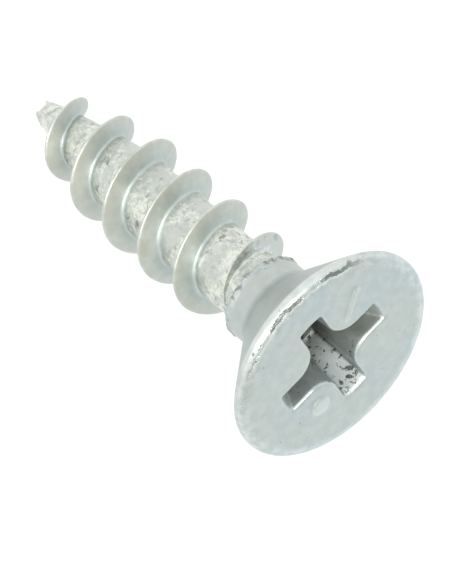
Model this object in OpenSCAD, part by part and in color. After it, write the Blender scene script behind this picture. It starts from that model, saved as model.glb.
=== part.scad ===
// Countersunk wood screw, 4.0 x 16 mm, with a no. 2 cross recess, in millimetres.
// It is one piece: head, plain neck, threaded shank and point are formed from one
// wire. The origin is the centre of the head's flat top face and +Z points out of
// the head along the axis, so the point hangs below. The cross lies along X and Y.

/* [Overall] */
// Length from the top of the head to the point
length = 15.7; // [12:0.1:30]

/* [Head] */
// Diameter over the rim
head_d = 8; // [6.5:0.1:12]
// Full angle of the cone under the head
seat_angle = 90; // [75:1:110]
// Height of the straight band round the rim
rim_land = 0.12; // [0.05:0.01:0.6]
// How far the rounded top edge drops
edge_drop = 0.26; // [0.05:0.01:0.4]
// How far in from the rim the rounding of the top edge starts
edge_round = 0.48; // [0.1:0.05:0.8]
// Radius of the fillet between the cone and the neck
seat_fillet = 0.55; // [0.3:0.05:3]

/* [Drive] */
// Diameter over the ends of the cross at the top face
recess_d = 4.55; // [3:0.1:6]
// Width of each wing of the cross
wing_w = 1; // [0.6:0.05:1.4]
// Depth of the wings
recess_depth = 2.1; // [1:0.1:2.6]
// Lean of the wings' ends, measured from the axis
recess_lean = 26.5; // [10:0.5:35]
// Rounding of the four inner corners of the cross
corner_round = 0.6; // [0.2:0.05:0.6]

/* [Shank] */
// Diameter of the plain neck
neck_d = 3.15; // [2.6:0.05:4]
// Length of the plain neck, from the fillet to the thread's end of it
neck_l = 0.74; // [0.3:0.01:6]
// Diameter between the thread flights
core_d = 2.5; // [2:0.05:3]
// Length over which the core narrows to the point
point_l = 4.8; // [3:0.1:8]
// Diameter of the blunt end of the point
tip_d = 0.54; // [0.3:0.02:1]

/* [Thread] */
// Diameter over the thread
thread_d = 3.94; // [3.2:0.02:5]
// Number of turns, which is a whole number
turns = 6; // [4:1:14]
// Full angle between the two flanks of the thread
flank_angle = 38; // [25:1:60]
// Width of the thread's sharp edge
crest_w = 0.1; // [0.04:0.01:0.2]
// Distance from the end of the neck to where the thread begins
run_in = 0.3; // [0.2:0.05:1]
// Turn of the thread's beginning about the axis
start_angle = -3; // [-180:1:180]

/* [Hidden] */
$fn = 96;
head_r = head_d / 2;
neck_r = neck_d / 2;
core_r = core_d / 2;
tip_r = tip_d / 2;
thread_r = thread_d / 2;
cut = 0.5; // overshoot of the cutting shapes above the top face
arc_steps = 8; // straight steps in each rounded edge

// Head: where the cone starts and where it would meet the neck
cone_top = -edge_drop - rim_land;
seat_half = seat_angle / 2;
cone_foot = cone_top - (head_r - neck_r) / tan(seat_half);
fillet_foot = cone_foot - seat_fillet * tan(seat_half / 2);
neck_end = neck_l - fillet_foot;

// Recess: it narrows with depth to a shallow cone at the bottom
recess_r = recess_d / 2;
recess_foot_r = recess_r - recess_depth * tan(recess_lean);
recess_mouth_r = recess_r + cut * tan(recess_lean);
recess_cone = 0.35;
corner_at = wing_w / 2 + corner_round;

// Thread: facets a turn, pitch, where it ends and how it fades at both ends
facets = 60;
tip_gap = 0.25;
thread_start = neck_end + run_in;
thread_end = length - tip_gap;
pitch = (thread_end - thread_start) / turns;
fade_in = 200;
fade_out = 100;
core_curve = 0.75;
crest_curve = 0.45;
flank_slope = tan(flank_angle / 2);
crest_half = crest_w / 2;
foot_min = 0.02;
socket = 0.5; // how far the threaded shank reaches up into the neck
shoulder_r = core_r + (neck_r - core_r) * 0.7;
shoulder_drop = 0.02;
lead = 0.12;

// Radius of the core and of the thread's edge, at a height above the point
function core_at(h) =
    tip_r + (core_r - tip_r) * pow(min(h / point_l, 1), core_curve);
function crest_at(h) =
    tip_r + (thread_r - tip_r) * pow(min(h / point_l, 1), crest_curve);

// How much of its full height the thread has after a turn of t degrees
function rise(t) =
    min(1, t / fade_in, (turns * 360 - t) / fade_out);

// The four corners of the thread's section after a turn of t degrees
function edge_z(t) = -thread_start - pitch * t / 360;
function height_at(t) =
    rise(t) * (crest_at(length + edge_z(t)) - core_at(length + edge_z(t)));
function foot_half(t) = crest_half + foot_min + height_at(t) * flank_slope;
function corner_z(t, c) =
    edge_z(t) + [foot_half(t), crest_half, -crest_half, -foot_half(t)][c];
function corner_r(t, c) =
    core_at(length + corner_z(t, c)) + ((c == 1 || c == 2) ? height_at(t) : 0);
function on_axis(r, t, z) =
    [r * cos(start_angle - t), r * sin(start_angle - t), z];
function corner(t, c) = on_axis(corner_r(t, c), t, corner_z(t, c));

module head() {
    rotate_extrude()
        polygon(concat(
            [[0, 0]],
            [for (k = [0 : arc_steps])
                let (a = 90 * k / arc_steps)
                [head_r - edge_round * (1 - sin(a)), -edge_drop * (1 - cos(a))]],
            [[head_r, cone_top]],
            [for (k = [arc_steps : -1 : 0])
                let (a = seat_half * k / arc_steps)
                [neck_r + seat_fillet * (1 - cos(a)), fillet_foot + seat_fillet * sin(a)]],
            [[neck_r, -neck_end], [0, -neck_end]]
        ));
}

module wing() {
    translate([-head_r, -wing_w / 2, -head_r])
        cube([head_d, wing_w, head_r + cut]);
}

module cross() {
    wing();
    rotate([0, 0, 90]) wing();
    translate([0, 0, -head_r])
        linear_extrude(height = head_r + cut)
            difference() {
                square(2 * corner_at, center = true);
                for (x = [-1, 1], y = [-1, 1])
                    translate([x * corner_at, y * corner_at]) circle(corner_round);
            }
}

module recess() {
    intersection() {
        rotate_extrude()
            polygon([
                [0, cut],
                [recess_mouth_r, cut],
                [recess_foot_r, -recess_depth],
                [0, -recess_depth - recess_cone]
            ]);
        cross();
    }
}

// Core, thread and point as one skin. Its rows follow the helix, four to a turn,
// and a ring of points closes it at the neck and at the blunt end.
module threaded_shank() {
    rows = 4 * turns;
    step = 360 / facets;
    ring_a = [for (i = [0 : facets - 1]) on_axis(shoulder_r, i * step, -neck_end + socket)];
    ring_b = [for (i = [0 : facets - 1])
        on_axis(shoulder_r, i * step, -neck_end - shoulder_drop)];
    ring_c = [for (i = [0 : facets - 1]) on_axis(core_r, i * step, -thread_start + lead)];
    helix = [for (j = [0 : rows - 1], i = [0 : facets - 1])
        corner(360 * floor(j / 4) + i * step, j % 4)];
    last = [for (c = [0 : 3]) corner(360 * turns, c)];
    ring_t = [for (i = [0 : facets - 1]) on_axis(tip_r, i * step, -length)];
    h0 = 3 * facets;
    l0 = h0 + rows * facets;
    t0 = l0 + 4;
    points = concat(ring_a, ring_b, ring_c, helix, last, ring_t);

    // Index of a point of the helix; past the last facet it is the next turn's first
    function at(j, i) =
        (i == facets) ? at(j + 4, 0) : (j < rows ? h0 + j * facets + i : l0 + j - rows);
    function quad(a, b, c, d) = [[a, c, b], [a, d, c]];
    function fan(list) =
        [for (k = [1 : len(list) - 2]) [list[0], list[k + 1], list[k]]];

    sides = [for (r = [0, 1], i = [0 : facets - 1], f = quad(
        r * facets + i, r * facets + (i + 1) % facets,
        (r + 1) * facets + (i + 1) % facets, (r + 1) * facets + i)) f];
    top_wedge = [for (i = [0 : facets - 2], f = quad(
        2 * facets + i, 2 * facets + i + 1, at(0, i + 1), at(0, i))) f];
    top_seam = fan([at(0, facets - 1), 3 * facets - 1, 2 * facets,
        at(0, 0), at(1, 0), at(2, 0), at(3, 0), at(4, 0)]);
    skin = [for (j = [0 : rows - 2], i = [0 : facets - 1], f = quad(
        at(j, i), at(j, i + 1), at(j + 1, i + 1), at(j + 1, i))) f];
    end_wedge = [for (i = [1 : facets - 1], f = quad(
        at(rows - 1, i), at(rows - 1, i + 1), t0 + (i + 1) % facets, t0 + i)) f];
    end_seam = fan([at(rows - 1, 1), t0 + 1, t0,
        at(rows + 3, 0), at(rows + 2, 0), at(rows + 1, 0), at(rows, 0), at(rows - 1, 0)]);
    caps = [
        [for (i = [0 : facets - 1]) i],
        [for (i = [facets - 1 : -1 : 0]) t0 + i]
    ];
    polyhedron(
        points = points,
        faces = concat(sides, top_wedge, top_seam, skin, end_wedge, end_seam, caps),
        convexity = 10
    );
}

module screw() {
    color([0.80, 0.82, 0.82]) {
        difference() {
            head();
            recess();
        }
        threaded_shank();
    }
}

screw();
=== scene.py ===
from math import asin, cos, pi, radians, sin, sqrt, tan

import bmesh
import bpy
import numpy as np
from mathutils import Matrix, Vector, noise


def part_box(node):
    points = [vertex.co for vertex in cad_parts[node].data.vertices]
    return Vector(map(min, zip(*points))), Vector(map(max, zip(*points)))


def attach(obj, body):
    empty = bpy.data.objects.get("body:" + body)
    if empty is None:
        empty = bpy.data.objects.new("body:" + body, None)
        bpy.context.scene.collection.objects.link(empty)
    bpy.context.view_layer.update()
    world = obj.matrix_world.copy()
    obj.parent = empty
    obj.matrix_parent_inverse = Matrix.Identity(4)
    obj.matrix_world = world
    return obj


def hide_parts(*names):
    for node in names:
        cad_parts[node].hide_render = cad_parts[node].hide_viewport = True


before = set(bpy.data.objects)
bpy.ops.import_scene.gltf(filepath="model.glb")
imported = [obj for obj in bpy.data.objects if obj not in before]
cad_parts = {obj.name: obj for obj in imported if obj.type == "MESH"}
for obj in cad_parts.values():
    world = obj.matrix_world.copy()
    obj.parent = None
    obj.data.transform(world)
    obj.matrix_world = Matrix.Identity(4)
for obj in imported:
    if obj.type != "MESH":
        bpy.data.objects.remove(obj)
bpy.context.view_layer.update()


# ---- Camera -------------------------------------------------------------------
# The screw is seen from well above its head and from far off, through a very long
# lens, with the head to the lower right and the point to the upper left.
MM = 0.001
AIM = Vector((0.67, 0.08, -5.03)) * MM
CAMERA_TURN = radians(6.66)
CAMERA_HEIGHT = radians(34.05)
CAMERA_ROLL = radians(130.63)
CAMERA_AWAY = 394.1 * MM
LENS = 728.5


def looking_in(turn, height, away):
    """The place and aim of a camera or light that looks at the aim point from a distance,
    at a turn about Z and a height above level."""
    out = Vector((sin(turn) * cos(height), -cos(turn) * cos(height), sin(height)))
    return Matrix.Translation(AIM + out * away) @ out.to_track_quat("Z", "Y").to_matrix().to_4x4()


def place_camera():
    data = bpy.data.cameras.new("camera")
    data.lens = LENS
    data.clip_start = 0.01
    data.clip_end = 20
    camera = bpy.data.objects.new("camera", data)
    bpy.context.scene.collection.objects.link(camera)
    camera.matrix_world = (
        looking_in(CAMERA_TURN, CAMERA_HEIGHT, CAMERA_AWAY) @ Matrix.Rotation(CAMERA_ROLL, 4, "Z")
    )
    bpy.context.scene.camera = camera


place_camera()


# ---- Head, recess and neck ------------------------------------------------------
# The upper end of a length of steel wire, upset cold in a die: a countersunk head with
# a rounded rim and a cross recess punched into its flat top, a 90 degree cone, and a
# short plain neck, with a torn edge where the thread-rolling dies stopped.
TURN = 2 * pi
LOW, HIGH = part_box("screw")

# Sizes in millimetres, with heights from the head's flat top
HEAD_R = round(HIGH.x / MM, 2)
RIM_ROUND = 0.48
RIM_DROP = 0.26
RIM_CORNER = 0.03
CONE_TOP = -0.38
SEAT_HALF = radians(45)
SEAT_FILLET = 0.55
NECK_R = 1.575
NECK_END = -3.77
SHANK_TOP = -3.95
CORE_R = 1.25

# The recess narrows as it goes down, and its foot is a shallow cone
RECESS_R = 2.25
RECESS_LEAN = tan(radians(26.5))
RECESS_DEPTH = 2.15
RECESS_CONE = 0.3
WING_HALF = 0.48
WING_TAPER = 0.03
INNER_ROUND = 0.9
INNER_TAPER = 0.2
INNER_LEAST = 0.3
END_ROUND = 0.1
LIP = 0.13

# The punch struck a little off the head's centre, along Y
PUNCH_OFF = -0.07

# Points round an eighth of the cross: wing's end, its corner, wing's side, inner corner
END_STEPS = 7
CORNER_STEPS = 4
SIDE_STEPS = 8
INNER_STEPS = 13
AROUND = 8 * (END_STEPS + CORNER_STEPS + SIDE_STEPS + INNER_STEPS)

# The torn edge: how far its flash stands out and how uneven that is, how far up and
# down it wanders, with its waves as (share, waves to a radius), and its section as
# (share of the flash, height above the neck's end)
FLASH = 0.045
FLASH_UNEVEN = 0.9
FLASH_WAVES = 9
COLLAR = 0.24
TEAR = 0.06
TEAR_WAVES = ((1, 2.3), (0.7, 6), (0.2, 13))
TORN_SECTION = (
    (0.1, 0.14), (0.6, 0.08), (1, 0.04), (0.8, 0), (-1, -0.02), (-3.2, -0.03),
    (-4, -0.07), (-5.5, -0.11), (-6.6, -0.15),
)


def wing_outline(reach, half, inner):
    """An eighth of the cross, from the middle of a wing's end to the inner corner."""
    corner = (sqrt(reach * reach - half * half), half)
    end_turn = asin(half / reach) - END_ROUND / reach
    start = (reach * cos(end_turn), reach * sin(end_turn))
    stop = (corner[0] - END_ROUND, half)
    centre = half + inner
    points = []
    for k in range(END_STEPS):
        a = end_turn * k / END_STEPS
        points.append((reach * cos(a), reach * sin(a)))
    for k in range(CORNER_STEPS):
        s = k / CORNER_STEPS
        points.append(tuple(
            (1 - s) ** 2 * start[i] + 2 * s * (1 - s) * corner[i] + s * s * stop[i]
            for i in (0, 1)
        ))
    for k in range(SIDE_STEPS):
        points.append((stop[0] + (centre - stop[0]) * k / SIDE_STEPS, half))
    for k in range(INNER_STEPS + 1):
        a = radians(45) * k / INNER_STEPS
        points.append((centre - inner * sin(a), centre - inner * cos(a)))
    return points


def cross_ring(reach, half, inner, z):
    """The whole cross at one depth, by mirroring its eighth and turning the quarter."""
    eighth = wing_outline(reach, half, inner)
    quarter = eighth + [(y, x) for x, y in reversed(eighth[1:-1])]
    ring = []
    for c, s in ((1, 0), (0, 1), (-1, 0), (0, -1)):
        ring += [(c * x - s * y, s * x + c * y + PUNCH_OFF, z) for x, y in quarter]
    return ring


def circle_ring(r, z):
    return [
        (r * cos(TURN * i / AROUND), r * sin(TURN * i / AROUND), z) for i in range(AROUND)
    ]


def torn_ring(r, rise, z):
    """A ring at the torn edge of the neck."""
    ring = []
    for x, y, level in circle_ring(1, z):
        way = Vector((x, y, 0))
        wave = sum(share * noise.noise(way * count) for share, count in TEAR_WAVES)
        lift = rise * (1 + FLASH_UNEVEN * noise.noise(Vector((x, y, z)) * FLASH_WAVES))
        ring.append(((r + lift) * x, (r + lift) * y, level + TEAR * wave))
    return ring


def between(a, b, share):
    """A ring part of the way from one ring to another."""
    return [tuple(p + (q - p) * share for p, q in zip(u, v)) for u, v in zip(a, b)]


def recess_size(depth, flare=0.0):
    """Reach, half width and inner rounding of the cross at a depth."""
    return (
        RECESS_R - depth * RECESS_LEAN + flare,
        WING_HALF - depth * WING_TAPER + flare,
        max(INNER_LEAST, INNER_ROUND - depth * INNER_TAPER - flare),
    )


def recess_rings():
    """From the foot of the recess up its walls and over the rounded lip to the face."""
    foot = cross_ring(*recess_size(RECESS_DEPTH), -RECESS_DEPTH)
    pit = [(0.0, PUNCH_OFF, -RECESS_DEPTH - RECESS_CONE)] * AROUND
    rings = [between(pit, foot, s) for s in (0.15, 0.35, 0.6, 0.85, 0.95)]
    wall_steps = 16
    for k in range(wall_steps + 1):
        depth = RECESS_DEPTH + (LIP - RECESS_DEPTH) * k / wall_steps
        rings.append(cross_ring(*recess_size(depth), -depth))
    lip_steps = 5
    for k in range(1, lip_steps + 1):
        a = radians(90) * k / lip_steps
        depth = LIP * (1 - sin(a))
        rings.append(cross_ring(*recess_size(depth, LIP * (1 - cos(a))), -depth))
    return rings


def face_rings(mouth):
    """From the mouth of the recess out over the flat face, the rim and its corner."""
    edge = circle_ring(HEAD_R - RIM_ROUND, 0)
    face_steps = 30
    rings = [between(mouth, edge, k / face_steps) for k in range(1, face_steps + 1)]
    rim_steps = 8
    for k in range(1, rim_steps + 1):
        a = radians(90) * k / rim_steps
        rings.append(circle_ring(
            HEAD_R - RIM_ROUND * (1 - sin(a)), -RIM_DROP * (1 - cos(a))
        ))
    rings.append(circle_ring(HEAD_R, CONE_TOP + RIM_CORNER))
    rings.append(circle_ring(HEAD_R - RIM_CORNER / 3, CONE_TOP))
    return rings


def neck_rings():
    """Down the cone, round the fillet, and along the neck to its torn edge."""
    fillet_z = CONE_TOP - (HEAD_R - NECK_R) - SEAT_FILLET * tan(SEAT_HALF / 2)

    def fillet(a):
        return NECK_R + SEAT_FILLET * (1 - cos(a)), fillet_z + SEAT_FILLET * sin(a)

    top_r, top_z = HEAD_R - RIM_CORNER, CONE_TOP - RIM_CORNER
    meet_r, meet_z = fillet(SEAT_HALF)
    rings = []
    cone_steps = 16
    for k in range(1, cone_steps):
        s = k / cone_steps
        rings.append(circle_ring(top_r + (meet_r - top_r) * s, top_z + (meet_z - top_z) * s))
    fillet_steps = 6
    for k in range(fillet_steps, -1, -1):
        rings.append(circle_ring(*fillet(SEAT_HALF * k / fillet_steps)))
    neck_steps = 6
    for k in range(1, neck_steps + 1):
        s = k / neck_steps
        rings.append(circle_ring(NECK_R, fillet_z + (NECK_END + COLLAR - fillet_z) * s))
    for rise, above in TORN_SECTION:
        rings.append(torn_ring(NECK_R, rise * FLASH, NECK_END + above))
    rings.append(circle_ring(CORE_R, SHANK_TOP))
    return rings


def skin(rings, first=None, last=None):
    """Points and faces of a skin over rings, closed by a point at either end."""
    points = [p for ring in rings for p in ring]
    faces = []
    for r in range(len(rings) - 1):
        a, b = r * AROUND, (r + 1) * AROUND
        for i in range(AROUND):
            j = (i + 1) % AROUND
            faces.append((a + i, b + i, b + j, a + j))
    if first is not None:
        n = len(points)
        points.append(first)
        faces += [(n, i, (i + 1) % AROUND) for i in range(AROUND)]
    if last is not None:
        n = len(points)
        points.append(last)
        a = (len(rings) - 1) * AROUND
        faces += [(n, a + (i + 1) % AROUND, a + i) for i in range(AROUND)]
    return points, faces


def mesh_of(name, points, faces):
    mesh = bpy.data.meshes.new(name)
    mesh.from_pydata([Vector(p) * MM for p in points], [], faces)
    return mesh


def head_mesh():
    rings = recess_rings()
    rings += face_rings(rings[-1])
    rings += neck_rings()
    return mesh_of("head", *skin(rings, first=(0, PUNCH_OFF, -RECESS_DEPTH - RECESS_CONE)))


head = head_mesh()


# ---- Thread -----------------------------------------------------------------------
# The shank of the same steel wire, rolled cold between two dies that raise one sharp
# right-hand flight from it, six turns long, dying out under the neck and just short
# of the point.
LENGTH = round(-LOW.z / MM, 2)
THREAD_R = 1.97
THREAD_START = 4.07
TURNS = 6

# The thread dies out a little short of the very end, and starts two facets back from X
TIP_GAP = 0.25
START_STEP = -2
PITCH = (LENGTH - TIP_GAP - THREAD_START) / TURNS

# How the core and the thread's edge run down to the blunt end: below 1 they narrow late
POINT_L = 4.8
TIP_R = 0.27
CORE_CURVE = 0.75
CREST_CURVE = 0.45

# The rolled skin ends this far above the very end, where the point's own skin begins,
# and points closer than the weld are one
POINT_TOP = 0.22
WELD = 0.0005 * MM

THREAD_SIZES = {
    "Turns": TURNS,
    "Facets per Turn": AROUND,
    "Half Rows": 18,
    "Thread Radius": THREAD_R,
    "Core Radius": CORE_R,
    "Blunt End Radius": TIP_R,
    "Length": LENGTH,
    "Point Length": POINT_L,
    "Thread Start": THREAD_START,
    "Pitch": PITCH,
    "Start Angle": TURN * START_STEP / AROUND,
    "Half Flank Angle": radians(19),
    "Edge Rounding": 0.07,
    "Root Rounding": 0.2,
    "Shank Top": -SHANK_TOP,
    "Shank Foot": LENGTH - POINT_TOP,
    "Fade In": radians(200),
    "Fade Out": radians(100),
    "Edge Waviness": 0.05,
    "Root Crushing": 0.07,
}


class Field:
    """A value in a node tree that can be added, multiplied and so on."""

    tree = None

    def __init__(self, socket):
        self.socket = socket

    @classmethod
    def math(cls, operation, *values):
        node = cls.tree.nodes.new("ShaderNodeMath")
        node.operation = operation
        for slot, value in zip(node.inputs, values):
            put(value, slot)
        return cls(node.outputs[0])

    def __add__(self, other):
        return Field.math("ADD", self, other)

    def __radd__(self, other):
        return Field.math("ADD", other, self)

    def __sub__(self, other):
        return Field.math("SUBTRACT", self, other)

    def __rsub__(self, other):
        return Field.math("SUBTRACT", other, self)

    def __mul__(self, other):
        return Field.math("MULTIPLY", self, other)

    def __rmul__(self, other):
        return Field.math("MULTIPLY", other, self)

    def __truediv__(self, other):
        return Field.math("DIVIDE", self, other)


def put(value, slot):
    """Gives a node's input a field, another node's output, or a plain value."""
    if isinstance(value, Field):
        Field.tree.links.new(value.socket, slot)
    elif isinstance(value, bpy.types.NodeSocket):
        Field.tree.links.new(value, slot)
    else:
        slot.default_value = value


def f_sin(a):
    return Field.math("SINE", a)


def f_cos(a):
    return Field.math("COSINE", a)


def f_abs(a):
    return Field.math("ABSOLUTE", a)


def f_min(a, b):
    return Field.math("MINIMUM", a, b)


def f_max(a, b):
    return Field.math("MAXIMUM", a, b)


def f_noise(place, scale, detail=2.0, rough=0.5, twist=0.0):
    """A value near 0.5 that wanders over the surface, the same on every run."""
    node = Field.tree.nodes.new("ShaderNodeTexNoise")
    put(place, node.inputs["Vector"])
    put(scale, node.inputs["Scale"])
    put(detail, node.inputs["Detail"])
    put(rough, node.inputs["Roughness"])
    put(twist, node.inputs["Distortion"])
    return Field(node.outputs[0])


def f_join(x, y, z):
    """Three values as one vector."""
    node = Field.tree.nodes.new("ShaderNodeCombineXYZ")
    for slot, value in zip(node.inputs, (x, y, z)):
        put(value, slot)
    return node.outputs[0]


def f_share(value, low, high):
    """How far a value has come from low to high, held between 0 and 1."""
    return f_min(f_max((value - low) / (high - low), 0.0), 1.0)


def thread_tree():
    """A grid wrapped round the axis: one way it follows the helix, and the other way it
    crosses one pitch, so each turn meets the next."""
    tree = bpy.data.node_groups.new("rolled thread", "GeometryNodeTree")
    tree.interface.new_socket("Geometry", in_out="OUTPUT", socket_type="NodeSocketGeometry")
    for name, value in THREAD_SIZES.items():
        kind = "NodeSocketInt" if isinstance(value, int) else "NodeSocketFloat"
        tree.interface.new_socket(name, in_out="INPUT", socket_type=kind)
    tree.interface.new_socket("Finish", in_out="INPUT", socket_type="NodeSocketMaterial")
    entry = tree.nodes.new("NodeGroupInput")
    Field.tree = tree
    size = {name: Field(entry.outputs[name]) for name in THREAD_SIZES}

    # The flat grid: along it is counted in turns, from one turn too early to one too
    # late, and across it from -1 to 1 over one pitch
    grid = tree.nodes.new("GeometryNodeMeshGrid")
    laps = size["Turns"] + 2
    put(size["Half Rows"] * 2 + 1, grid.inputs["Vertices X"])
    put(laps * size["Facets per Turn"] + 1, grid.inputs["Vertices Y"])
    split = tree.nodes.new("ShaderNodeSeparateXYZ")
    put(tree.nodes.new("GeometryNodeInputPosition").outputs[0], split.inputs[0])
    across = Field(split.outputs[0]) * 2
    along = (Field(split.outputs[1]) + 0.5) * laps - 1
    turned = along * TURN

    fade = f_min(
        f_share(turned, 0.0, size["Fade In"]),
        f_share(size["Turns"] * TURN - turned, 0.0, size["Fade Out"]),
    )
    fade = fade * fade * (3 - 2 * fade)

    def taper(depth, full, curve):
        above = f_max(size["Length"] - depth, 0.0)
        share = Field.math("POWER", f_min(above / size["Point Length"], 1.0), curve)
        return size["Blunt End Radius"] + (full - size["Blunt End Radius"]) * share

    middle = size["Thread Start"] + size["Pitch"] * along
    round_and_down = f_join(f_cos(turned), f_sin(turned), along * 1.7)
    wave = f_noise(round_and_down, 1.6, 3) - 0.5
    height = fade * (
        taper(middle, size["Thread Radius"], CREST_CURVE)
        - taper(middle, size["Core Radius"], CORE_CURVE)
        + size["Edge Waviness"] * wave
    )

    # The section from the sharp edge to the middle of the root: rounded edge,
    # straight flank, rounded foot, and the plain core up to the next turn
    slant = pi / 2 - size["Half Flank Angle"]
    lean = Field.math("TANGENT", size["Half Flank Angle"])
    edge, root = size["Edge Rounding"], size["Root Rounding"]
    u = f_abs(across)
    edge_to, flank_to, foot_to = 0.2, 0.4, 0.65
    on_edge, on_flank = f_share(u, 0.0, edge_to), f_share(u, edge_to, flank_to)
    on_foot, on_core = f_share(u, flank_to, foot_to), f_share(u, foot_to, 1.0)
    flank_top = 1 - edge * (1 - f_cos(slant))
    flank_foot = root * (1 - f_cos(slant))
    flank_run = (flank_top - flank_foot) * lean
    left = slant * (1 - on_foot)
    out = (
        edge * f_sin(slant * on_edge)
        + flank_run * on_flank
        + root * (f_sin(slant) - f_sin(left))
    )
    full_out = edge * f_sin(slant) + flank_run + root * f_sin(slant)
    rise = (
        1
        - edge * (1 - f_cos(slant * on_edge))
        - (flank_top - flank_foot) * on_flank
        - (flank_foot - root * (1 - f_cos(left)))
    )

    # Where the flight dies out it keeps a little width, so that no two rows meet
    least_width = 0.1
    wide = f_max(height, least_width)
    reach = wide * out + (size["Pitch"] / 2 - wide * full_out) * on_core
    side = Field.math("SIGN", across)
    depth = f_min(f_max(middle + reach * side, size["Shank Top"]), size["Shank Foot"])
    core = taper(depth, size["Core Radius"], CORE_CURVE)
    angle = size["Start Angle"] - turned

    # The root is crushed where the dies folded the wire, but not where it meets
    # the neck and the point
    crushed = f_noise(f_join(core * f_cos(angle), core * f_sin(angle), depth), 3.2, 3, 0.6, 0.6)
    near_neck, near_point = 0.3, 0.8
    where = (
        f_share(u, 0.5, 0.75)
        * f_share(depth, size["Shank Top"], size["Shank Top"] + near_neck)
        * f_share(size["Shank Foot"] - depth, 0.0, near_point)
    )
    radius = core + height * rise + size["Root Crushing"] * (crushed - 0.5) * where

    in_metres = tree.nodes.new("ShaderNodeVectorMath")
    in_metres.operation = "SCALE"
    put(f_join(radius * f_cos(angle), radius * f_sin(angle), depth * -1.0), in_metres.inputs[0])
    put(MM, in_metres.inputs["Scale"])
    wrap = tree.nodes.new("GeometryNodeSetPosition")
    put(grid.outputs["Mesh"], wrap.inputs["Geometry"])
    put(in_metres.outputs[0], wrap.inputs["Position"])
    weld = tree.nodes.new("GeometryNodeMergeByDistance")
    put(wrap.outputs[0], weld.inputs["Geometry"])
    put(WELD, weld.inputs["Distance"])
    real = tree.nodes.new("GeometryNodeRealizeInstances")
    put(weld.outputs[0], real.inputs[0])
    coated = tree.nodes.new("GeometryNodeSetMaterial")
    put(real.outputs[0], coated.inputs["Geometry"])
    put(entry.outputs["Finish"], coated.inputs["Material"])
    put(coated.outputs[0], tree.nodes.new("NodeGroupOutput").inputs[0])
    return tree


def rolled_thread(finish):
    """The thread as a plain mesh, from its node tree."""
    holder = bpy.data.objects.new("thread", bpy.data.meshes.new("thread"))
    bpy.context.scene.collection.objects.link(holder)
    modifier = holder.modifiers.new("rolled thread", "NODES")
    modifier.node_group = thread_tree()
    values = {**THREAD_SIZES, "Finish": finish}
    for socket in modifier.node_group.interface.items_tree:
        if socket.name in values:
            modifier[socket.identifier] = values[socket.name]
    view = bpy.context.evaluated_depsgraph_get()
    mesh = bpy.data.meshes.new_from_object(holder.evaluated_get(view), depsgraph=view)
    holder.modifiers.remove(modifier)
    bpy.data.objects.remove(holder)
    return mesh


zinc = bpy.data.materials.new("bright zinc")
thread = rolled_thread(zinc)


# ---- Point --------------------------------------------------------------------------
# The very end of the wire, which the dies pinched off: a small blunt face, with a burr
# drawn out into a prong at two sides of it.
NOTCH = 0.34
DISH = 0.03
BURR = 0.07
BURR_WAVES = 7
DRAWN_IN = 0.1


def core_at(above):
    return TIP_R + (CORE_R - TIP_R) * min(above / POINT_L, 1) ** CORE_CURVE


def drawn_out(ring, share):
    """A ring with a prong drawn out at either side in X."""
    points = []
    for x, y, z in ring:
        hollow = NOTCH * (1 - min((x / TIP_R) ** 2, 1))
        burr = BURR * noise.noise(Vector((x, y, z)) * BURR_WAVES)
        points.append((x * (1 - DRAWN_IN * share), y, z + share * (hollow + burr)))
    return points


def point_mesh():
    rings = []
    side_steps = 9
    for k in range(side_steps):
        above = POINT_TOP * (1 - k / side_steps)
        side = circle_ring(core_at(above), above - LENGTH)
        rings.append(drawn_out(side, (k / side_steps) ** 1.5))
    for s in (1, 0.93, 0.82, 0.66, 0.5, 0.33, 0.16):
        rings.append(drawn_out(circle_ring(TIP_R * s, DISH * (1 - s) - LENGTH), 1))
    return mesh_of("point", *skin(rings, last=(0, 0, DISH + NOTCH - LENGTH)))


point = point_mesh()


# ---- The whole screw ------------------------------------------------------------------
# Head, thread and point are one piece of steel, zinc plated in a barrel after rolling,
# so their skins are welded into one closed mesh, which stands for the CAD model's one
# node.
def one_piece(name, parts):
    joined = bmesh.new()
    for mesh in parts:
        joined.from_mesh(mesh)
    bmesh.ops.remove_doubles(joined, verts=joined.verts, dist=WELD)
    bmesh.ops.recalc_face_normals(joined, faces=joined.faces)
    mesh = bpy.data.meshes.new(name)
    joined.to_mesh(mesh)
    joined.free()
    mesh.shade_smooth()
    piece = bpy.data.objects.new(name, mesh)
    bpy.context.scene.collection.objects.link(piece)
    return piece


screw = one_piece("wood_screw", (head, thread, point))


def places(mesh):
    """The mesh's points in millimetres, one row each."""
    flat = np.empty(3 * len(mesh.vertices))
    mesh.vertices.foreach_get("co", flat)
    return flat.reshape(-1, 3) / MM


def move_to(mesh, place):
    mesh.vertices.foreach_set("co", (place * MM).ravel())
    mesh.update()


def gentle(value, low, high):
    """A smooth step from 0 at low to 1 at high, falling where low is above high."""
    t = np.clip((value - low) / (high - low), 0, 1)
    return t * t * (3 - 2 * t)


# Less than this, in millimetres, counts as nothing
HAIR = 0.002

# Two plain marks are struck up a little from the head's face, a round pip and a short
# bar, each sloping from its foot to its brow
PIP_AT = (1.35, 1.35)
PIP_FOOT, PIP_BROW = 0.42, 0.3
BAR_FROM, BAR_TO = (-1.15, -1.15), (-1.95, -1.95)
BAR_FOOT, BAR_BROW = 0.15, 0.04
MARK_HEIGHT = 0.08


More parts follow.
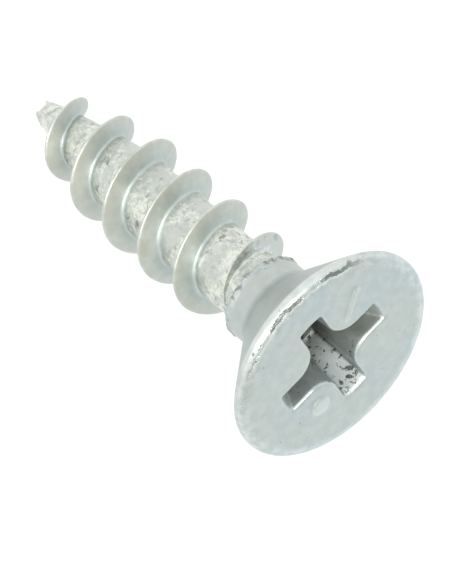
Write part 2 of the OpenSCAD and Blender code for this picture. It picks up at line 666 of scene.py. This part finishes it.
def raise_marks(mesh):
    place = places(mesh)
    x, y, z = place.T
    pip = gentle(np.hypot(x - PIP_AT[0], y - PIP_AT[1]), PIP_FOOT, PIP_BROW)
    start, run = np.array(BAR_FROM), np.subtract(BAR_TO, BAR_FROM)
    share = np.clip(((x - start[0]) * run[0] + (y - start[1]) * run[1]) / (run @ run), 0, 1)
    off = np.hypot(x - start[0] - share * run[0], y - start[1] - share * run[1])
    on_face = abs(z) < HAIR
    place[:, 2] += on_face * MARK_HEIGHT * np.maximum(pip, gentle(off, BAR_FOOT, BAR_BROW))
    move_to(mesh, place)


raise_marks(screw.data)


# A cone that holds the whole recess, and nothing else
PIT_R = 2.95
PIT_LEAN = 0.75


def in_recess(r, depth):
    return (r < PIT_R - PIT_LEAN * depth) & (depth < RECESS_DEPTH + RECESS_CONE + 0.05)


def narrowed(above, full, curve):
    """The core's or the edge's radius at a height above the point."""
    return TIP_R + (full - TIP_R) * np.clip(above / POINT_L, 0, 1) ** curve


def surface_marks(mesh):
    """How far each point of the skin is up a flight, down the recess, on the rim and so on."""
    x, y, z = places(mesh).T
    r, depth = np.hypot(x, y), -z
    core = narrowed(LENGTH - depth, CORE_R, CORE_CURVE)
    crest = narrowed(LENGTH - depth, THREAD_R, CREST_CURVE)
    shank = gentle(depth, -NECK_END - 0.05, -NECK_END + 0.1)
    rise = np.clip((r - core) / (crest - core + 0.02), 0, 1) * shank
    inside = in_recess(r, depth)

    # The crushed root lies between the flights, and the thread's start and the end
    # of the point are crushed all round
    turns = (depth - THREAD_START) / PITCH + np.arctan2(y, x) / TURN - START_STEP / AROUND
    across = turns - np.round(turns)
    off_flight = gentle(np.where(across < 0, -across, across + 0.1), 0.14, 0.25)
    root = shank * (1 - gentle(rise, 0.1, 0.45)) * off_flight
    start = gentle(depth, 3.75, 3.9) * (1 - gentle(depth, 4.4, 5.2))
    end = gentle(depth, LENGTH - 0.35, LENGTH - 0.1)

    rim_top = HEAD_R - RIM_ROUND
    # The cone's mask, weaker near the fillet, carries painted shade as well as its roughness
    cone = gentle(depth, 0.35, 0.45) * (1 - 0.65 * gentle(depth, 2.86, 3.0))
    marks = {
        "rise": rise,
        "shank": shank,
        "root": np.maximum.reduce([root, start, end]),
        "crest": shank * gentle(rise, 0.92, 0.985) * (1 - end),
        "recess": inside * gentle(depth, 0.0, 0.25),
        # Painted shade deep in the recess
        "deep_shade": inside * gentle(depth, 0.9, 2.1),
        "ramp": inside * gentle(y - abs(x), -0.1, 0.3),
        # The rim's side toward the key light, where the nicks and the painted highlight bands lie
        "lit and nicked side": 0.08 + 0.92 * gentle(-y, 2.6, 3.4),
        "raised": gentle(z, 0.01, 0.06),
        "rim": gentle(r, rim_top - 0.1, HEAD_R - 0.25) * (1 - gentle(depth, 0.42, 0.5)),
        "over rim": gentle(r + depth, rim_top, HEAD_R + RIM_DROP),
        "cone": cone * ~inside * (1 - shank),
        "torn": gentle(depth, 3.5, 3.65) * (1 - gentle(depth, 3.95, 4.1)),
    }
    for name, value in marks.items():
        mesh.attributes.new(name, "FLOAT", "POINT").data.foreach_set("value", value)


surface_marks(screw.data)


# The flat layout of the skin is a square sheet in millimetres: a strip for each turn of
# the thread, two strips to a row, and above them the patches for the rest
SHEET = 26.0
STRIP_L = 12.0
STRIP_H = 3.6
GAP = 0.25
ROUND_L = 15.6


def bake_layout(mesh):
    place = places(mesh)
    corner = np.empty(len(mesh.loops), dtype=np.int32)
    mesh.loops.foreach_get("vertex_index", corner)
    sides = np.empty(len(mesh.polygons), dtype=np.int32)
    mesh.polygons.foreach_get("loop_total", sides)
    face = np.repeat(np.arange(len(sides)), sides)
    middle = np.stack([np.bincount(face, place[corner, i]) / sides for i in range(3)], 1)[face]

    # A corner's turn about the axis is counted on from its face's, so no face is cut
    x, y, z = place[corner].T
    depth, r = -z, np.hypot(x, y)
    face_depth, face_r = -middle[:, 2], np.hypot(middle[:, 0], middle[:, 1])
    face_turn = np.arctan2(middle[:, 1], middle[:, 0]) / TURN
    past_face = np.where(r > HAIR, np.arctan2(y, x) / TURN - face_turn, 0)
    past_face -= np.round(past_face)
    turn = face_turn + past_face

    # The core's last faces go with the point, because they crowd round the axis
    inside = in_recess(face_r, face_depth)
    floor = inside & (face_depth > RECESS_DEPTH)
    wall = inside & ~floor & (face_depth > HAIR)
    top = ~floor & ~wall & (face_depth < RIM_DROP)
    tip = (face_depth > LENGTH - POINT_TOP) | (face_depth > LENGTH - 0.5) & (face_r < 0.36)
    turns = ~top & ~floor & ~wall & ~tip & (face_depth > -SHANK_TOP)
    outside = ~(top | floor | wall | tip | turns)

    along = START_STEP / AROUND - face_turn
    along += np.round((face_depth - THREAD_START) / PITCH - along)
    strip = np.clip(np.floor(along), -1, TURNS) + 1
    along -= past_face
    below_middle = depth - THREAD_START - PITCH * along
    crest = narrowed(LENGTH - THREAD_START - PITCH * along, THREAD_R, CREST_CURVE)
    over_flight = below_middle + np.sign(below_middle) * np.maximum(crest - r, 0)

    strip_u = GAP + (strip % 2) * (STRIP_L + 2 * GAP) + (along - strip + 1) * STRIP_L
    strip_v = np.floor(strip / 2) * STRIP_H + STRIP_H / 2 + over_flight
    # Each patch's faces and its place on the sheet
    patches = (
        (turns, strip_u, strip_v),
        (top, 4.3 + x, 18.9 + y),
        (floor, 1.8 + x, 24.4 + y),
        (wall, 17 + ROUND_L * turn, 20.3 + depth),
        (outside, 17 + ROUND_L * turn, 14.9 + 0.75 * (HEAD_R - r + depth - RIM_DROP)),
        (tip, 5 + 2 * turn, 24.6 - 1.6 * r),
    )
    faces, u, v = zip(*patches)
    layout = np.stack([np.select(faces, u), np.select(faces, v)], 1) / SHEET
    mesh.uv_layers.new(name="OFBake").data.foreach_set("uv", layout.ravel())


bake_layout(screw.data)


# The last of the shank is squeezed to half its thickness across Y
PINCH = 0.5
PINCH_L = 0.9


def pinch_end(mesh):
    place = places(mesh)
    place[:, 1] *= 1 - PINCH * gentle(-place[:, 2], LENGTH - PINCH_L, LENGTH - 0.1)
    move_to(mesh, place)


pinch_end(screw.data)


# Colours of the coat, as the metal reflects them, and the painted shade and painted highlights
# laid over it
BLUE_ZINC, STRAW_ZINC = (0.52, 0.555, 0.545), (0.555, 0.57, 0.53)
BLUE_FLANK, STRAW_FLANK = (0.50, 0.53, 0.495), (0.575, 0.565, 0.495)
FROST = (0.72, 0.74, 0.71)
CLOUD = (0.40, 0.43, 0.42)
ROOT_GREY = (0.66, 0.67, 0.62)
# Cream of the crushed foil, partly the zinc's own tone and partly a painted highlight on the
# raised flecks
FOIL_AND_HIGHLIGHT = (0.88, 0.87, 0.77)
# Painted glints on the crushed roots
PAINTED_GLINT = (1.0, 1.0, 0.96)
# Painted shade in the cracks of the crushed roots, darkest in the deepest ones
CRACK_SHADE = (0.24, 0.25, 0.23)
DEEP_CRACK_SHADE = (0.10, 0.10, 0.09)
# Painted shade on the cone, where it reflects the shank
CONE_SHADE = (0.27, 0.32, 0.30)
# Rubbed crests: worn lighter, with a painted highlight along the edge
RUBBED_EDGE_AND_HIGHLIGHT = (0.90, 0.89, 0.81)
# Painted highlight bands along the rim's lit side
PAINTED_RIM_CREAM, PAINTED_RIM_WHITE = (0.95, 0.94, 0.86), (0.95, 0.94, 0.89)
SPECK = (0.15, 0.15, 0.14)
RIM_FROST = (0.85, 0.85, 0.80)
NICK = (0.20, 0.20, 0.18)
TEAR_SHADE = (0.16, 0.17, 0.16)
# Painted shade in the recess, darkest deep down
RECESS_SHADE, RECESS_DEEP_SHADE = (0.25, 0.25, 0.22), (0.08, 0.085, 0.08)
# Painted highlight on the tops of the raised marks
MARK_TOP_HIGHLIGHT = (0.85, 0.85, 0.8)
PIT = (0.04, 0.04, 0.035)


def tint(share, under, over):
    """Two colours mixed by a value."""
    node = Field.tree.nodes.new("ShaderNodeMix")
    node.data_type = "RGBA"
    put(share, node.inputs["Factor"])
    for slot, colour in ((node.inputs[6], under), (node.inputs[7], over)):
        put((*colour, 1) if isinstance(colour, tuple) else colour, slot)
    return node.outputs[2]


def mark(name):
    node = Field.tree.nodes.new("ShaderNodeAttribute")
    node.attribute_name = name
    return Field(node.outputs["Fac"])


def f_soft(value, low, high):
    """A smooth step, falling where low is above high."""
    t = f_share(value, low, high)
    return t * t * (3 - 2 * t)


def zinc_coat():
    """Bright zinc plate: satin, a little blue and a little straw, with crushed roots that carry
    painted glints and painted shade in their cracks, rubbed edges with a painted highlight,
    nicks and painted highlight bands along the rim, painted shade on the cone and deep in
    the recess, a painted highlight on the marks, and dull pitting down the recess."""
    zinc.use_nodes = True
    tree = Field.tree = zinc.node_tree
    shader = tree.nodes["Principled BSDF"]
    place = tree.nodes.new("ShaderNodeTexCoord").outputs["Object"]
    stretched = tree.nodes.new("ShaderNodeMapping")
    stretched.inputs["Scale"].default_value = (1, 1, 3.5)
    put(place, stretched.inputs["Vector"])

    rise, shank, root, crest = mark("rise"), mark("shank"), mark("root"), mark("crest")
    recess, deep_shade, ramp, cone = mark("recess"), mark("deep_shade"), mark("ramp"), mark("cone")
    rim, over_rim, torn, raised = mark("rim"), mark("over rim"), mark("torn"), mark("raised")
    # The rim on its lit side, which carries the nicks and the painted highlight bands
    lit_and_nicked_rim = rim * mark("lit and nicked side")

    # Patterns from the broadest to the finest, their scales in waves to a metre
    cloud = f_noise(place, 420, 3)
    patches = f_noise(place, 900, 4, 0.7)
    mottle = f_noise(place, 2600, 4, 0.6)
    grain = f_noise(place, 11000, 2, 0.6)
    crush = f_noise(place, 2500, 5, 0.6, 1.0)
    flecks = f_noise(place, 2700, 5, 0.68, 1.2)
    foil = f_noise(place, 8000, 3, 0.6, 0.5)
    chips = f_noise(stretched.outputs[0], 1300, 4, 0.7) + 0.5 * (f_noise(place, 260, 1) - 0.5)
    pits = f_noise(place, 5200, 3, 0.65) + 0.3 * (f_noise(place, 1000, 1) - 0.5)

    # What they make: crushed roots with painted shade in their cracks and painted glints, a rim
    # nicked along a wandering seam with painted highlight bands on its lit side, and pits
    worn = root * (1 - 0.8 * f_soft(f_noise(place, 800, 2), 0.48, 0.62))
    bright = f_soft(0.6 * flecks + 0.4 * foil, 0.42, 0.58)
    # Painted glints where the foil pattern is highest in the roots
    painted_glints = root * f_soft(foil, 0.66, 0.72)
    # Painted shade where the crushed relief is lowest, in its cracks
    crack = worn * f_soft(crush, 0.47, 0.37)
    wander = over_rim + 1.1 * (f_noise(place, 1700, 5, 0.75) - 0.5)
    nick = lit_and_nicked_rim * f_soft(f_abs(wander - 0.56), 0.26, 0.12) * f_soft(chips, 0.42, 0.54)
    speck = (1 - shank) * f_soft(pits, 0.70, 0.74)
    pitted = recess * (0.15 + 0.85 * ramp) * f_soft(pits, 0.53, 0.64)

    blend = f_soft(rise + 0.8 * (cloud - 0.5), 0.1, 0.8)
    colour = tint(f_soft(cloud, 0.36, 0.62), BLUE_ZINC, STRAW_ZINC)
    colour = tint(shank, colour, tint(blend, BLUE_FLANK, STRAW_FLANK))
    for share, over in (
        (f_soft(mottle, 0.35, 0.7) * 0.32, FROST),
        (f_soft(patches, 0.6, 0.72) * 0.25, CLOUD),
        (root * 0.45, ROOT_GREY),
        # Crushed foil on the raised flecks: its own cream tone and a painted highlight
        (worn * bright * 0.85, FOIL_AND_HIGHLIGHT),
        # Painted glints
        (painted_glints, PAINTED_GLINT),
        # Painted shade in the cracks of the crushed roots
        (crack * 0.5, CRACK_SHADE),
        (root * f_soft(crush, 0.37, 0.30) * 0.6, DEEP_CRACK_SHADE),
        # Painted shade on the cone
        (cone * 0.36, CONE_SHADE),
        # Crest lighter as rubbed wear and as a painted highlight
        (crest * f_soft(mottle, 0.4, 0.6) * 0.35, RUBBED_EDGE_AND_HIGHLIGHT),
        # Painted highlight bands along the rim's lit side
        (lit_and_nicked_rim * f_soft(wander, 0.72, 0.85) * 0.3, PAINTED_RIM_CREAM),
        (lit_and_nicked_rim * f_soft(f_abs(wander - 0.25), 0.16, 0.05) * 0.6, PAINTED_RIM_WHITE),
        (speck * 0.8, SPECK),
        (rim * f_soft(mottle, 0.4, 0.6) * 0.25, RIM_FROST),
        (nick * 0.9, NICK),
        (torn * f_soft(crush, 0.5, 0.42) * 0.7, TEAR_SHADE),
        (recess * 0.1, RECESS_SHADE),
        # Painted shade deep in the recess
        (deep_shade * 0.75, RECESS_DEEP_SHADE),
        # Painted highlight on the raised marks
        (raised * 0.35, MARK_TOP_HIGHLIGHT),
        (pitted * 0.8, PIT),
    ):
        colour = tint(share, colour, over)
    put(colour, shader.inputs["Base Color"])
    put(1, shader.inputs["Metallic"])

    put(
        0.36 + 0.12 * (mottle - 0.5) + 0.12 * shank * (1 - root) + 0.1 * crack
        - 0.15 * (crest + painted_glints) + 0.2 * recess + 0.14 * cone + 0.1 * nick,
        shader.inputs["Roughness"],
    )

    relief = (
        0.07 * mottle + 0.06 * grain + worn * (0.9 * crush + 0.35 * flecks + 0.3 * foil)
        - 0.8 * nick - 0.5 * pitted + torn * crush
    )
    bump = tree.nodes.new("ShaderNodeBump")
    put(1, bump.inputs["Strength"])
    put(0.045 * MM, bump.inputs["Distance"])
    put(relief, bump.inputs["Height"])
    put(bump.outputs[0], shader.inputs["Normal"])


zinc_coat()
screw.data.materials.clear()
screw.data.materials.append(zinc)

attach(screw, "root")
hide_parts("screw")


# ---- Table and light -------------------------------------------------------------------
# A plain matt white table well below the screw, two round soft lights, and the pale
# walls of a studio all round.
TABLE_HALF = 3.0
TABLE_LEVEL = -0.45


def table():
    mesh = bpy.data.meshes.new("table")
    mesh.from_pydata(
        [(x * TABLE_HALF, y * TABLE_HALF, TABLE_LEVEL)
         for x, y in ((-1, -1), (1, -1), (1, 1), (-1, 1))],
        [], [(0, 1, 2, 3)],
    )
    paint = bpy.data.materials.new("table white")
    paint.use_nodes = True
    shader = paint.node_tree.nodes["Principled BSDF"]
    shader.inputs["Base Color"].default_value = (0.35, 0.35, 0.35, 1)
    shader.inputs["Roughness"].default_value = 0.9
    shader.inputs["Emission Color"].default_value = (1, 1, 1, 1)
    shader.inputs["Emission Strength"].default_value = 0.7
    mesh.materials.append(paint)
    floor = bpy.data.objects.new("table", mesh)
    bpy.context.scene.collection.objects.link(floor)


def soft_light(name, turn, height, away, size, power):
    data = bpy.data.lights.new(name, "AREA")
    data.shape = "DISK"
    data.size = size
    data.energy = power
    light = bpy.data.objects.new(name, data)
    bpy.context.scene.collection.objects.link(light)
    light.matrix_world = looking_in(turn, height, away)


def studio():
    """Pale walls all round, a little darker overhead."""
    world = bpy.data.worlds.new("studio")
    world.use_nodes = True
    nodes, links = world.node_tree.nodes, world.node_tree.links
    way = nodes.new("ShaderNodeTexCoord")
    split = nodes.new("ShaderNodeSeparateXYZ")
    shade = nodes.new("ShaderNodeValToRGB")
    shade.color_ramp.elements[0].position = 0.35
    shade.color_ramp.elements[0].color = (1.06, 1.15, 1.22, 1)
    shade.color_ramp.elements[1].position = 0.95
    shade.color_ramp.elements[1].color = (0.72, 0.78, 0.74, 1)
    links.new(way.outputs["Generated"], split.inputs[0])
    links.new(split.outputs["Z"], shade.inputs[0])
    links.new(shade.outputs[0], nodes["Background"].inputs["Color"])
    bpy.context.scene.world = world


table()
soft_light("key", radians(18), radians(58), away=0.45, size=0.16, power=1.2)
soft_light("low", radians(40), radians(8), away=0.5, size=0.3, power=0.2)
studio()
bpy.context.scene.view_settings.view_transform = "Standard"
